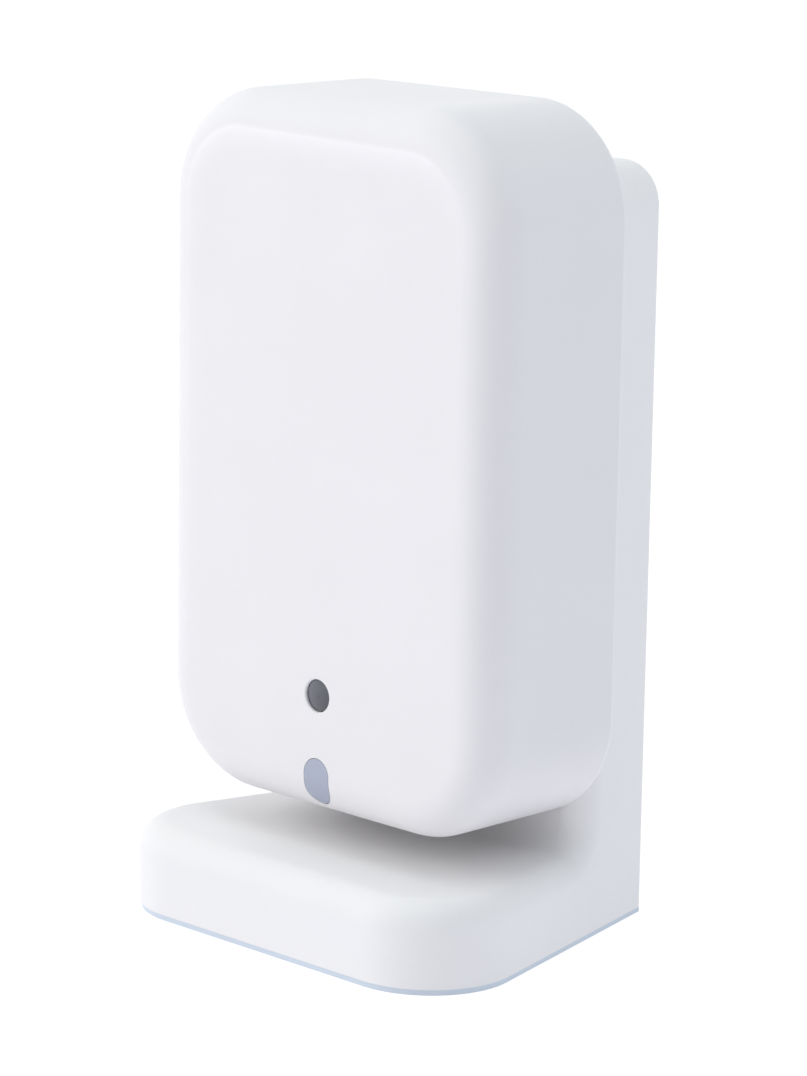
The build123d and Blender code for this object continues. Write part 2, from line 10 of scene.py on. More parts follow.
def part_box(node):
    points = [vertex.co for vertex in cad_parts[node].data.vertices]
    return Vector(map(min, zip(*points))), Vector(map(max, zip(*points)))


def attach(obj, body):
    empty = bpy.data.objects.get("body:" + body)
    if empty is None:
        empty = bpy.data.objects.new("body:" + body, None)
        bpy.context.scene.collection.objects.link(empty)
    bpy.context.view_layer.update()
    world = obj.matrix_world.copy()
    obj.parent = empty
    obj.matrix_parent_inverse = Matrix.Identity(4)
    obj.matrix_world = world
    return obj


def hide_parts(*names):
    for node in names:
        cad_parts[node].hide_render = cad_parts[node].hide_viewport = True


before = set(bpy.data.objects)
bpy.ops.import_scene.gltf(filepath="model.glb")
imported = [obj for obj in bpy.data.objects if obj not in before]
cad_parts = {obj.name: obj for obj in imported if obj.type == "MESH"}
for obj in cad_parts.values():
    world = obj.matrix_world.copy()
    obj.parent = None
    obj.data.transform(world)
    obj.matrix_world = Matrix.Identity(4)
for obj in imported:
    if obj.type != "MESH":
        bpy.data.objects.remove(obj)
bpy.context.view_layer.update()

mm = 0.001


# The photographer's camera: a long lens, a little above the sensor and well to its right, turned by a hair.
# The distance and the turn come from the perspective of the head's edges in the photograph.
def toward(azimuth, elevation):
    """The way from the sensor to what stands at these angles in degrees, counted from its front."""
    turn, rise = math.radians(azimuth), math.radians(elevation)
    return Vector((math.sin(turn) * math.cos(rise), -math.cos(turn) * math.cos(rise), math.sin(rise)))


photo_long_side = 1076
focal_length_pixels = 4070.7
sensor_long_side = 36.0
camera_azimuth = 44.63
camera_elevation = 11.92
camera_roll = math.radians(0.93)
camera_distance = 514.4 * mm
camera_target = Vector((0, -1.5 * mm, 56.95 * mm))
camera_aside = 0.95 * mm
camera_below = 6.81 * mm
camera_near = 10 * mm
camera_far = 20

camera_back = toward(camera_azimuth, camera_elevation)
level_right = Vector((math.cos(math.radians(camera_azimuth)), math.sin(math.radians(camera_azimuth)), 0))
level_up = camera_back.cross(level_right)
camera_right = level_right * math.cos(camera_roll) + level_up * math.sin(camera_roll)
camera_up = level_up * math.cos(camera_roll) - level_right * math.sin(camera_roll)
camera_place = camera_target + camera_right * camera_aside - camera_up * camera_below
bpy.ops.object.camera_add(location=camera_place + camera_back * camera_distance)
camera = bpy.context.object
camera.name = "photo_camera"
camera.rotation_euler = Matrix((camera_right, camera_up, camera_back)).transposed().to_euler()
camera.data.lens = focal_length_pixels * sensor_long_side / photo_long_side
camera.data.sensor_width = sensor_long_side
camera.data.clip_start = camera_near
camera.data.clip_end = camera_far
bpy.context.scene.camera = camera
bpy.context.scene.view_settings.view_transform = "Standard"


# The studio: a pale blue room, darker on the photographer's side, and four soft lamps at a plain level.
# Room and paper are plain white to the camera and in mirrors; the paper keeps the sensor's shadow.
# A large warm lamp stands front left, one hangs overhead, a strip lines the corners, a blue one is behind.
class Wire:
    """One output of a node, so that shader maths reads as arithmetic."""

    def __init__(self, finish, node, output=0):
        self.finish = finish
        self.node = node
        self.socket = node.outputs[output] if node.outputs else None

    def out(self, output):
        """Another output of the same node."""
        return Wire(self.finish, self.node, output)

    def maths(self, operation, first, second=0.0):
        return self.finish.node("ShaderNodeMath", {"operation": operation}, {0: first, 1: second})

    def __add__(self, other):
        return self.maths("ADD", self, other)

    def __sub__(self, other):
        return self.maths("SUBTRACT", self, other)

    def __rsub__(self, other):
        return self.maths("SUBTRACT", other, self)

    def __mul__(self, other):
        return self.maths("MULTIPLY", self, other)

    def __truediv__(self, other):
        return self.maths("DIVIDE", self, other)

    def __rtruediv__(self, other):
        return self.maths("DIVIDE", other, self)

    def __abs__(self):
        return self.maths("ABSOLUTE", self)

    def at_least(self, other):
        return self.maths("MAXIMUM", self, other)

    def at_most(self, other):
        return self.maths("MINIMUM", self, other)

    def held(self):
        """The same value, held between 0 and 1."""
        return self.at_least(0).at_most(1)

    def above(self, other):
        return self.maths("GREATER_THAN", self, other)

    def root(self):
        return self.maths("SQRT", self)

    __radd__ = __add__
    __rmul__ = __mul__


class Finish:
    """The nodes of one material, or of the room's light."""

    def __init__(self, owner, surface="ShaderNodeBsdfPrincipled", output="ShaderNodeOutputMaterial"):
        owner.use_nodes = True
        self.owner = owner
        self.tree = owner.node_tree
        self.tree.nodes.clear()
        self.surface = self.node(surface)
        self.output = self.node(output, sockets={"Surface": self.surface})

    def node(self, kind, settings=None, sockets=None, output=0):
        node = self.tree.nodes.new(kind)
        for name, value in (settings or {}).items():
            setattr(node, name, value)
        for name, value in (sockets or {}).items():
            self.feed(node, name, value)
        return Wire(self, node, output)

    def feed(self, node, name, value):
        if isinstance(value, Wire):
            self.tree.links.new(value.socket, node.inputs[name])
        else:
            node.inputs[name].default_value = value

    def put(self, **values):
        """Feeds sockets of the surface; an underscore stands for the space in a socket's name."""
        for name, value in values.items():
            self.feed(self.surface.node, name.replace("_", " "), value)

    def mix(self, factor, first, second):
        return self.node("ShaderNodeMix", {"data_type": "RGBA"}, {0: factor, 6: first, 7: second}, output=2)

    def blend(self, factor, first, second):
        return self.node("ShaderNodeMixShader", sockets={0: factor, 1: first, 2: second})

    def show(self, surface):
        self.feed(self.output.node, "Surface", surface)


def seen_rays(finish):
    """One for rays on which the plain white shows: straight to the camera, in a mirror or through glass."""
    path = finish.node("ShaderNodeLightPath")
    direct = path.out("Is Camera Ray").at_least(path.out("Is Transmission Ray"))
    return direct.at_least(path.out("Is Glossy Ray"))


def lamp(name, azimuth, elevation, distance, width, height, watts, colour, mirrored=False):
    """A soft lamp that looks at the middle of the sensor; only a mirrored one shows in glossy faces."""
    way = toward(azimuth, elevation)
    bpy.ops.object.light_add(type="AREA", location=camera_target + way * distance)
    light = bpy.context.object
    light.name = name
    light.rotation_euler = way.to_track_quat("Z", "Y").to_euler()
    light.data.shape = "RECTANGLE"
    light.data.size = width
    light.data.size_y = height
    light.data.energy = watts
    light.data.color = colour
    light.visible_glossy = mirrored


lamp(
    "front_left_lamp", azimuth=-42, elevation=25, distance=1.15,
    width=0.6, height=0.6, watts=4.15, colour=(1, 0.96, 0.92),
)
lamp(
    "high_lamp", azimuth=25, elevation=80, distance=0.9,
    width=0.5, height=0.5, watts=1.5, colour=(0.98, 1, 1),
)
lamp(
    "strip_lamp", azimuth=27, elevation=57, distance=0.9,
    width=0.5, height=0.05, watts=0.2, colour=(1, 0.99, 0.98), mirrored=True,
)
lamp(
    "right_lamp", azimuth=130, elevation=10, distance=0.9,
    width=0.5, height=0.5, watts=0.25, colour=(0.85, 0.93, 1),
)

room_light = (0.94, 1.02, 1.07, 1)
room_strength = 0.66
camera_side_strength = 0.35
plain_white = (1, 1, 1, 1)
room = Finish(bpy.data.worlds.new("studio"), "ShaderNodeBackground", "ShaderNodeOutputWorld")
room.put(Color=room_light, Strength=room_strength)
inwards = room.node("ShaderNodeNewGeometry").out("Incoming")
from_camera = room.node(
    "ShaderNodeVectorMath", {"operation": "DOT_PRODUCT"}, {0: inwards, 1: camera_back}, output=1
)
camera_side = from_camera.at_most(0) * from_camera
dark_wall = room.node("ShaderNodeBackground", sockets={"Color": room_light, "Strength": camera_side_strength})
white_wall = room.node("ShaderNodeBackground", sockets={"Color": plain_white, "Strength": 1})
room.show(room.blend(seen_rays(room), room.blend(camera_side, room.surface, dark_wall), white_wall))
bpy.context.scene.world = room.owner

paper_radius = 3.0
paper_sides = 96
paper_colour = (0.95, 0.93, 0.99, 1)
paper_glow = 1.2
seen_glow_share = 0.7
hidden_glow_colour = (0.95, 0.95, 1, 1)
hidden_glow_share = 0.36
bpy.ops.object.select_all(action="DESELECT")
bpy.ops.mesh.primitive_circle_add(vertices=paper_sides, radius=paper_radius, fill_type="NGON")
paper = bpy.context.object
paper.name = "paper_floor"
paper_finish = Finish(bpy.data.materials.new("white_paper"), "ShaderNodeBsdfDiffuse")
paper_finish.put(Color=paper_colour)
glow = paper_finish.node("ShaderNodeEmission", sockets={"Color": plain_white, "Strength": paper_glow})
# Painted light: to every ray but the camera's and the mirror's the paper also glows faintly blue, a glow that
# adds to the light the paper throws up onto the sensor.
hidden_glow = paper_finish.node("ShaderNodeEmission", sockets={"Color": hidden_glow_colour, "Strength": paper_glow})
seen = paper_finish.blend(seen_glow_share, paper_finish.surface, glow)
unseen = paper_finish.blend(hidden_glow_share, paper_finish.surface, hidden_glow)
paper_finish.show(paper_finish.blend(seen_rays(paper_finish), unseen, seen))
paper.data.materials.append(paper_finish.owner)


# Stand frame: foot, cove and hollow upright in one white moulding, with four hooks for the head.
# It is smooth satin plastic; a broad unevenness of the melt and a very fine grain keep it from looking drawn.
def shaded(colour, share):
    """The same colour, darker or lighter."""
    return tuple(min(1, part * share) for part in colour[:3]) + (1,)


def noise(finish, place, size, detail=2):
    """Soft spots of about the given size, from 0 to 1 and mostly near the middle."""
    return finish.node("ShaderNodeTexNoise", sockets={"Vector": place, "Scale": 1 / size, "Detail": detail})


def moulded(name, colour, roughness, grain_size, grain_depth, unevenness=0.04):
    """Moulded plastic with a faint cloudiness and a fine grain in gloss and height."""
    finish = Finish(bpy.data.materials.new(name))
    finish.place = finish.node("ShaderNodeTexCoord").out("Object")
    cloud = noise(finish, finish.place, cloud_size, detail=3)
    grain = noise(finish, finish.place, grain_size)
    spread = cloud * cloud_share + grain * (1 - cloud_share)
    finish.colour = finish.mix(spread, shaded(colour, 1 - unevenness), shaded(colour, 1 + unevenness))
    finish.roughness = grain * roughness_spread + (roughness - roughness_spread / 2)
    finish.put(Base_Color=finish.colour, Roughness=finish.roughness, Specular_IOR_Level=plastic_gloss)
    finish.put(Normal=finish.node("ShaderNodeBump", sockets={"Height": grain, "Distance": grain_depth}))
    return finish


def dress(finish, *nodes):
    """Gives CAD nodes their material."""
    for node in nodes:
        for material_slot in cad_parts[node].material_slots:
            material_slot.material = finish.owner


cloud_size = 18 * mm
cloud_share = 0.7
plastic_gloss = 0.3
roughness_spread = 0.2
stand_colour = (0.91, 0.897, 0.897, 1)
stand_white = moulded(
    "stand_white", stand_colour, roughness=0.42, grain_size=0.5 * mm, grain_depth=0.004 * mm
)
dress(stand_white, "stand_frame")


# Base cover: a white plate that closes the foot from below, held by four pan-head screws.
# The screws are zinc-plated steel with a cross recess, driven upwards into bosses of the foot.
def pick(piece, kind, wanted):
    """Opens a piece for editing and selects those of its faces or edges that are wanted, and nothing else."""
    bpy.ops.object.mode_set(mode="EDIT")
    bpy.ops.mesh.select_mode(type=kind)
    bpy.ops.mesh.select_all(action="DESELECT")
    shell = bmesh.from_edit_mesh(piece.data)
    for part in shell.faces if kind == "FACE" else shell.edges:
        part.select_set(wanted(part))
    bmesh.update_edit_mesh(piece.data)


def close(piece):
    """Ends the editing of a piece and shades its round stretches smooth."""
    bpy.ops.object.mode_set(mode="OBJECT")
    bpy.ops.object.select_all(action="DESELECT")
    piece.select_set(True)
    bpy.context.view_layer.objects.active = piece
    bpy.ops.object.shade_smooth_by_angle(angle=smooth_angle)


def block(low, high):
    """A plain block between two corners, as the start of a piece."""
    bpy.ops.object.select_all(action="DESELECT")
    bpy.ops.mesh.primitive_cube_add(size=1, location=(low + high) / 2, scale=high - low)
    bpy.ops.object.transform_apply()
    return bpy.context.object


def cut(piece, cutter):
    """Takes the cutter's shape out of a piece and throws the cutter away."""
    change = piece.modifiers.new("cut", "BOOLEAN")
    change.object = cutter
    bpy.context.view_layer.objects.active = piece
    bpy.ops.object.modifier_apply(modifier=change.name)
    bpy.data.objects.remove(cutter)


def model_screw(head_radius, head_height, shank_radius, length):
    """A pan-head screw with a cross recess, the top of its head at the origin and its tip downwards."""
    bpy.ops.object.select_all(action="DESELECT")
    bpy.ops.mesh.primitive_cylinder_add(
        vertices=screw_sides, radius=head_radius, depth=head_height, location=(0, 0, -head_height / 2)
    )
    bpy.ops.object.transform_apply()
    screw = bpy.context.object
    pick(screw, "EDGE", lambda edge: all(corner.co.z > -head_height / 2 for corner in edge.verts))
    bpy.ops.mesh.bevel(offset=head_height * head_round_share, segments=head_round_steps, affect="EDGES")
    pick(screw, "FACE", lambda face: face.normal.z < -squarely)
    bpy.ops.mesh.inset(thickness=head_radius - shank_radius)
    made = head_height
    while made + thread_pitch < length - shank_radius:
        for pitch_share, widening in thread_steps:
            bpy.ops.mesh.extrude_region_move(
                TRANSFORM_OT_translate={"value": (0, 0, -thread_pitch * pitch_share)}
            )
            bpy.ops.transform.resize(value=(widening, widening, 1))
        made += thread_pitch
    bpy.ops.mesh.extrude_region_move(TRANSFORM_OT_translate={"value": (0, 0, made - length)})
    bpy.ops.transform.resize(value=(tip_share, tip_share, 1))
    bpy.ops.object.mode_set(mode="OBJECT")
    reach = head_radius * recess_reach_share
    half_blade = head_radius * recess_width_share / 2
    recess_depth = head_height * recess_depth_share
    for across, along in ((reach, half_blade), (half_blade, reach)):
        blade = block(Vector((-across, -along, -recess_depth)), Vector((across, along, recess_depth)))
        cut(screw, blade)
    close(screw)
    return screw


def set_screws(node, body, facing, head_radius, head_height, shank_radius):
    """Sets a screw at each corner of the box that the CAD screws fill, each as long as this box."""
    low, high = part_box(node)
    turn = facing.to_track_quat("Z", "Y").to_matrix().to_4x4()
    middle = (low + high) / 2
    half = (high - low) / 2
    axis = max(range(3), key=lambda side: abs(facing[side]))
    across, along = (side for side in range(3) if side != axis)
    screw = model_screw(head_radius, head_height, shank_radius, high[axis] - low[axis])
    number = 0
    for left in (-1, 1):
        for down in (-1, 1):
            number += 1
            spot = middle.copy()
            spot[axis] += half[axis] * facing[axis]
            spot[across] += left * (half[across] - head_radius)
            spot[along] += down * (half[along] - head_radius)
            copy = screw.copy()
            copy.data = screw.data.copy()
            copy.name = f"{node[:-1]}_{number}"
            copy.data.transform(Matrix.Translation(spot) @ turn)
            bpy.context.collection.objects.link(copy)
            copy.data.materials.clear()
            copy.data.materials.append(screw_steel.owner)
            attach(copy, body)
            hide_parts(node)
    bpy.data.objects.remove(screw)


def plated(name, colour, roughness, streak_size, streak_depth):
    """Drawn or turned metal with a thin plating: fine streaks along one way, and duller spots."""
    finish = Finish(bpy.data.materials.new(name))
    place = finish.node("ShaderNodeTexCoord").out("Object")
    drawn = finish.node("ShaderNodeMapping", sockets={"Vector": place, "Scale": (1, streak_stretch, 1)})
    streaks = noise(finish, drawn, streak_size, detail=3)
    spots = noise(finish, place, spot_size, detail=3)
    spotting = spots * spot_roughness + streaks * streak_roughness
    finish.put(
        Base_Color=finish.mix(spots, shaded(colour, spot_dark_share), shaded(colour, spot_light_share)),
        Metallic=1,
        Roughness=spotting + (roughness - (spot_roughness + streak_roughness) / 2),
        Normal=finish.node("ShaderNodeBump", sockets={"Height": streaks, "Distance": streak_depth}),
    )
    return finish


smooth_angle = math.radians(35)
squarely = 0.9
screw_sides = 40
head_round_share = 0.55
head_round_steps = 5
thread_pitch = 0.9 * mm
thread_core_share = 0.8
# One turn of the thread: crest, flank to the core, core and flank back, each by its share of the pitch.
thread_steps = ((0.4, 1), (0.2, thread_core_share), (0.2, 1), (0.2, 1 / thread_core_share))
tip_share = 0.35
recess_reach_share = 0.55
recess_width_share = 0.24
recess_depth_share = 0.6
spot_size = 0.8 * mm
spot_dark_share = 0.88
spot_light_share = 1.1
spot_roughness = 0.2
streak_roughness = 0.15
streak_stretch = 0.12
screw_colour = (0.55, 0.55, 0.56, 1)
screw_steel = plated(
    "screw_steel", screw_colour, roughness=0.325, streak_size=0.12 * mm, streak_depth=0.003 * mm
)
underneath = Vector((0, 0, -1))
behind = Vector((0, 1, 0))
stand_screw = {"head_radius": 2.4 * mm, "head_height": 1.2 * mm, "shank_radius": 1.3 * mm}
set_screws("base_screws", "stand", underneath, **stand_screw)
dress(stand_white, "base_cover")

# Foot pad: a thin sheet of soft pale grey silicone rubber, glued under the foot so that it doesn't slide.
# Its edge shows as a fine blue-grey line below the white foot.
pad_colour = (0.69, 0.76, 0.84, 1)
pad_grey = moulded(
    "pad_grey", pad_colour, roughness=0.62, grain_size=0.25 * mm, grain_depth=0.02 * mm, unevenness=0.06
)
dress(pad_grey, "foot_pad")

# Back panel: a flat white plate that closes the upright behind, with the plug's window and the lead's notch.
# Four pan-head screws hold it, sunk in round pockets.
set_screws("panel_screws", "stand", behind, **stand_screw)
dress(stand_white, "back_panel")

# Head shells: a deep front cover and a flat rear cover, white plastic with a fine sparked texture.
# A painted highlight, a soft paler line in the base colour, marks where the flat face meets its wide round
# edge, strong along the top and fading down the left; a painted highlight also makes the rim at the rear
# cover a little paler.
shell_colour = (0.882, 0.862, 0.87, 1)
shell_texture = {"roughness": 0.38, "grain_size": 0.32 * mm, "grain_depth": 0.004 * mm}
head_corner_radius = 14.5 * mm
painted_highlight_inset = 4.7 * mm
painted_highlight_slope = 0.02
painted_highlight_width = 0.7 * mm
painted_highlight_tail = 4.5 * mm
painted_highlight_gain = 0.12
painted_highlight_right_end = 24.5 * mm
painted_highlight_fade = 7 * mm
painted_highlight_left_share = 0.35
rim_highlight_depth = 0.75 * mm
rim_highlight_blend = rim_highlight_depth / 4
rim_highlight_gain = 0.06
head_low, head_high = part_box("front_cover")
head_middle = (head_low + head_high) / 2
straight_half_width = head_high.x - head_middle.x - head_corner_radius
straight_half_height = head_high.z - head_middle.z - head_corner_radius

dress(moulded("shell_white", shell_colour, **shell_texture), "rear_cover")

front_shell = moulded("shell_white_face", shell_colour, **shell_texture)
sides = front_shell.node("ShaderNodeSeparateXYZ", sockets={0: front_shell.place})
sideways = sides.out("X") - head_middle.x
upwards = sides.out("Z") - head_middle.z
past_side = abs(sideways) - straight_half_width
past_top = abs(upwards) - straight_half_height
outside_x = past_side.at_least(0)
outside_z = past_top.at_least(0)
round_corner = (outside_x * outside_x + outside_z * outside_z).root()
inset = head_corner_radius - round_corner - past_side.at_least(past_top).at_most(0)
# Painted highlight: a narrow paler band in the base colour where the face starts to round over.
past_painted_highlight = inset - (painted_highlight_inset + (sideways + head_high.x / 2) * painted_highlight_slope)
painted_highlight = (past_painted_highlight / painted_highlight_width + 1).at_most(1 - past_painted_highlight / painted_highlight_tail).at_least(0)
fade_right = ((painted_highlight_right_end - sideways) / painted_highlight_fade).held()
fade_down = ((upwards + head_middle.z - head_low.z) / (head_high.z - head_low.z)).held()
along_top = ((upwards - straight_half_height) / head_corner_radius).held()
painted_highlight_share = along_top * (1 - painted_highlight_left_share) + fade_down * painted_highlight_left_share
painted_highlight_strength = painted_highlight * painted_highlight * fade_right * painted_highlight_share
with_painted_highlight = front_shell.mix(painted_highlight_strength, front_shell.colour, shaded(shell_colour, 1 + painted_highlight_gain))
# Painted highlight: the rear rim of the front cover is made paler in the base colour.
painted_rim_highlight = ((sides.out("Y") - (head_high.y - rim_highlight_depth)) / rim_highlight_blend).held()
front_shell.put(Base_Color=front_shell.mix(painted_rim_highlight, with_painted_highlight, shaded(shell_colour, 1 + rim_highlight_gain)))
dress(front_shell, "front_cover")

# Cover screws: four short pan-head screws that hold the rear cover to the bosses of the front cover.
# They sit sunk in round pockets and turn up only when the head is lifted off its stand.
cover_screw = {"head_radius": 2.1 * mm, "head_height": 1.2 * mm, "shank_radius": 1.1 * mm}
set_screws("cover_screws", "head", behind, **cover_screw)

# Lens of the light sensor: a smoked, polished dome of clear plastic, pushed into its hole from inside.
# A painted reflection in the base colour makes it grey towards the top left, where the room shines in, and
# painted shade makes it nearly black towards its lower rim.
lens_painted_shade_colour = (0.035, 0.037, 0.052, 1)
lens_painted_reflection_colour = (0.09, 0.095, 0.125, 1)
lens_roughness = 0.12
lens_haze_size = 0.6 * mm
lens_haze_roughness = 0.1
lens_coat_roughness = 0.05
lens_reflection_lean = 0.6
lens_reflection_reach = 5.2 * mm
lens_reflection_middle = 0.4
lens_low, lens_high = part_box("lux_lens")
lens_middle = (lens_low + lens_high) / 2
lens = Finish(bpy.data.materials.new("lens_smoke"))
lens_place = lens.node("ShaderNodeTexCoord").out("Object")
lens_sides = lens.node("ShaderNodeSeparateXYZ", sockets={0: lens_place})
lens_up = lens_sides.out("Z") - lens_middle.z
lens_right = lens_sides.out("X") - lens_middle.x
# Painted reflection and shade: the base colour goes from the dark smoke to a paler grey towards the top left.
lens_painted_reflection = ((lens_up - lens_right * lens_reflection_lean) / lens_reflection_reach + lens_reflection_middle).held()
lens.put(
    Base_Color=lens.mix(lens_painted_reflection, lens_painted_shade_colour, lens_painted_reflection_colour),
    Roughness=noise(lens, lens_place, lens_haze_size) * lens_haze_roughness + lens_roughness,
    Coat_Weight=1,
    Coat_Roughness=lens_coat_roughness,
)
dress(lens, "lux_lens")

# Light shroud and sensor: a black tube from the lens to the board, with the small sensor chip at its end.
# The tube is matt so that no stray light reaches the chip.
black_colour = (0.03, 0.03, 0.032, 1)
inner_black = moulded(
    "plastic_black", black_colour, roughness=0.6, grain_size=0.3 * mm, grain_depth=0.01 * mm, unevenness=0.15
)
chip_colour = (0.045, 0.045, 0.05, 1)
chip_black = moulded(
    "chip_black", chip_colour, roughness=0.48, grain_size=0.12 * mm, grain_depth=0.006 * mm, unevenness=0.15
)
dress(inner_black, "light_shroud")
dress(chip_black, "light_sensor")

# Status window: a frosted grey-blue light guide whose front follows the face and its round edge.
# A small lamp chip on the board shines into its back end; it is off in the photograph.
window_colour = (0.385, 0.42, 0.525, 1)
window_painted_light_colour = (0.445, 0.475, 0.575, 1)
window_painted_light_share = 0.7
frosting_size = 0.25 * mm
frosting_depth = 0.004 * mm
frosting_roughness = 0.2
window_roughness = 0.25
window_low, window_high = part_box("status_window")
window = Finish(bpy.data.materials.new("window_frost"))
window_place = window.node("ShaderNodeTexCoord").out("Object")
window_sides = window.node("ShaderNodeSeparateXYZ", sockets={0: window_place})
window_up = (window_sides.out("Z") - window_low.z) / (window_high.z - window_low.z)
frosting = noise(window, window_place, frosting_size, detail=3)
# Painted light: the base colour grows paler towards the top, mixed with the frosting's real speckle.
window_painted_light_and_frost = window_up * window_painted_light_share + frosting * (1 - window_painted_light_share)
window.put(
    Base_Color=window.mix(window_painted_light_and_frost.at_most(1), window_colour, window_painted_light_colour),
    Roughness=frosting * frosting_roughness + window_roughness,
    Normal=window.node("ShaderNodeBump", sockets={"Height": frosting, "Distance": frosting_depth}),
)
dress(window, "status_window")

resin_colour = (0.85, 0.8, 0.55, 1)
lamp_resin = moulded(
    "led_resin", resin_colour, roughness=0.25, grain_size=0.3 * mm, grain_depth=0.003 * mm, unevenness=0.05
)
dress(lamp_resin, "status_led")

# Circuit boards: glass-fibre laminate under green solder mask, with copper tracks that show through it.
# The main board stands across the head, and the radar board is carried in front of it on two pin headers.
# The mask is lighter and a little raised where a track lies under it.
board_colour = (0.02, 0.15, 0.075, 1)
track_colour = (0.05, 0.27, 0.13, 1)
track_pitch = 2.4 * mm
track_width_share = 0.06
track_softness = 0.3
track_height = 0.02 * mm
track_gloss = 0.3
track_pattern = {"offset": 0.37, "squash": 0.8, "squash_frequency": 3}
weave_size = 0.5 * mm
weave_dark_share = 0.8
weave_light_share = 1.2
weave_roughness = 0.15
board_roughness = 0.25
board_gloss = 0.3
board_green = Finish(bpy.data.materials.new("board_green"))
board_place = board_green.node("ShaderNodeTexCoord").out("Object")
upright_place = board_green.node(
    "ShaderNodeMapping", sockets={"Vector": board_place, "Rotation": (math.radians(90), 0, 0)}
)
tracks = board_green.node(
    "ShaderNodeTexBrick",
    track_pattern,
    {
        "Vector": upright_place, "Color1": (0, 0, 0, 1), "Color2": (0, 0, 0, 1), "Mortar": plain_white,
        "Scale": 1 / track_pitch, "Mortar Size": track_width_share, "Mortar Smooth": track_softness,
    },
    output=1,
)
weave = noise(board_green, board_place, weave_size, detail=3)
laminate = board_green.mix(
    weave, shaded(board_colour, weave_dark_share), shaded(board_colour, weave_light_share)
)
board_green.put(
    Base_Color=board_green.mix(tracks, laminate, track_colour),
    Roughness=weave * weave_roughness + board_roughness,
    Coat_Weight=tracks * track_gloss + board_gloss,
    Normal=board_green.node("ShaderNodeBump", sockets={"Height": tracks, "Distance": track_height}),
)
dress(board_green, "main_board", "radar_board", "radio_module")
dress(chip_black, "radar_chip")
dress(inner_black, "board_headers")

board_screw = {"head_radius": 1.8 * mm, "head_height": 1.2 * mm, "shank_radius": 0.95 * mm}
set_screws("board_screws", "head", behind, **board_screw)


# Antenna patches and header pins: gold-plated copper patches on the front of the radar board, three across
# and two high, and square gold-plated pins that join the two boards through the headers.
def repeated(piece, count, step):
    """Repeats a piece in a row and makes the row one mesh."""
    row = piece.modifiers.new("row", "ARRAY")
    row.count = count
    row.use_relative_offset = False
    row.use_constant_offset = True
    row.constant_offset_displace = step
    bpy.context.view_layer.objects.active = piece
    bpy.ops.object.modifier_apply(modifier=row.name)


def lengthwise(edge):
    """How far an edge runs from front to back."""
    return abs(edge.verts[0].co.y - edge.verts[1].co.y)


def finish_piece(piece, name, body, material):
    """Names a new piece, and gives it its material and its body."""
    piece.name = name
    piece.data.materials.clear()
    piece.data.materials.append(material.owner)
    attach(piece, body)


gold_colour = (0.83, 0.6, 0.27, 1)
gold = plated("gold_plate", gold_colour, roughness=0.305, streak_size=0.1 * mm, streak_depth=0.002 * mm)
patch_width = 3.4 * mm
patch_height = 2.6 * mm
patch_thickness = 0.06 * mm
patch_corner = 0.3 * mm
patch_corner_steps = 3
patch_rim = 0.25 * mm
patch_columns = 3
patch_rows = 2
patch_step_x = 6.6 * mm
patch_step_z = 6.2 * mm
radar_low, radar_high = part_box("radar_board")
radar_middle = (radar_low + radar_high) / 2
patch_low = Vector((
    radar_middle.x - patch_step_x * (patch_columns - 1) / 2 - patch_width / 2,
    radar_low.y - patch_thickness,
    radar_middle.z - patch_step_z * (patch_rows - 1) / 2 - patch_height / 2,
))
patches = block(patch_low, patch_low + Vector((patch_width, patch_thickness, patch_height)))
pick(patches, "EDGE", lambda edge: lengthwise(edge) > patch_thickness / 2)
bpy.ops.mesh.bevel(offset=patch_corner, segments=patch_corner_steps, affect="EDGES")
pick(patches, "FACE", lambda face: face.normal.y < -squarely)
bpy.ops.mesh.inset(thickness=patch_rim)
bpy.ops.mesh.extrude_region_move(TRANSFORM_OT_translate={"value": (0, patch_thickness / 2, 0)})
bpy.ops.object.mode_set(mode="OBJECT")
repeated(patches, patch_columns, (patch_step_x, 0, 0))
repeated(patches, patch_rows, (0, 0, patch_step_z))
close(patches)
finish_piece(patches, "antenna_patches", "head", gold)

pin_width = 0.64 * mm
pin_point = pin_width / 5
pin_point_steps = 2
pin_pitch = 2.54 * mm
pin_count = 6
pin_stand_out = 0.7 * mm
header_half = 1.25 * mm
header_low, header_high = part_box("board_headers")
main_low, main_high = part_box("main_board")
for row_name, row_z in (("low", header_low.z + header_half), ("high", header_high.z - header_half)):
    pin_low = Vector((
        -pin_pitch * (pin_count - 1) / 2 - pin_width / 2,
        radar_low.y - pin_stand_out,
        row_z - pin_width / 2,
    ))
    pin_length = main_high.y + pin_stand_out - pin_low.y
    pins = block(pin_low, pin_low + Vector((pin_width, pin_length, pin_width)))
    pick(pins, "FACE", lambda face: abs(face.normal.y) > squarely)
    bpy.ops.mesh.bevel(offset=pin_point, segments=pin_point_steps, affect="EDGES")
    bpy.ops.object.mode_set(mode="OBJECT")
    repeated(pins, pin_count, (pin_pitch, 0, 0))
    close(pins)
    finish_piece(pins, f"header_pins_{row_name}", "head", gold)

# Radio module: a small board of its own, soldered to the front of the main board under a drawn tin can.
# The can is bright tin plate with a soft matt streak from drawing.
tin_colour = (0.66, 0.66, 0.67, 1)
tin_plate = plated(
    "shield_metal", tin_colour, roughness=0.305, streak_size=0.15 * mm, streak_depth=0.003 * mm
)
dress(tin_plate, "radio_shield")

# Power supply: a shielded coil, a small regulator and four ceramic capacitors on the back of the main board.
# The capacitors are tan ceramic blocks with tin-plated ends.
ferrite_colour = (0.15, 0.15, 0.16, 1)
ferrite_grey = moulded(
    "ferrite_grey", ferrite_colour, roughness=0.6, grain_size=0.12 * mm, grain_depth=0.02 * mm, unevenness=0.2
)
dress(ferrite_grey, "power_inductor")
dress(chip_black, "regulator")

